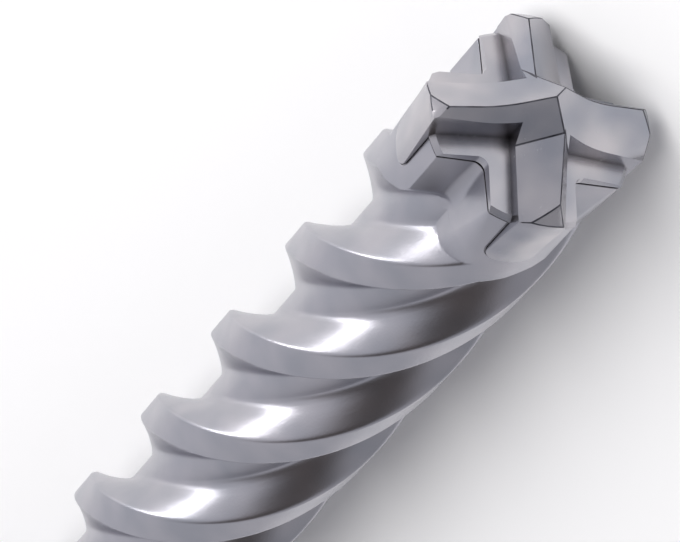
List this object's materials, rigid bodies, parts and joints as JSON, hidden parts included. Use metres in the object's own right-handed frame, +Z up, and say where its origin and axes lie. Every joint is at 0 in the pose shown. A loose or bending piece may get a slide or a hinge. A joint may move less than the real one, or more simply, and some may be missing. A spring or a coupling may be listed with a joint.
{
  "type": "masonry drill bit",
  "caption": "Hammer drill bit for masonry with a grooved quick-change shank, a thick spiral of flutes and a cross-shaped carbide head with a centring point.",
  "frame": {"origin": "centre of the shank's end face", "axes": "+X along the bit towards the tip, +Z up as it lies on a surface, so that two arms of the head point down"},
  "size_m": [0.16, 0.0128, 0.0128],
  "materials": {
    "steel": "satin, fine blasted",
    "carbide": "ground, half gloss",
    "braze": "dull"
  },
  "bodies": {
    "root": {"steel_body": "steel", "carbide_head": "carbide", "braze_seam": "braze"}
  },
  "joints": []
}
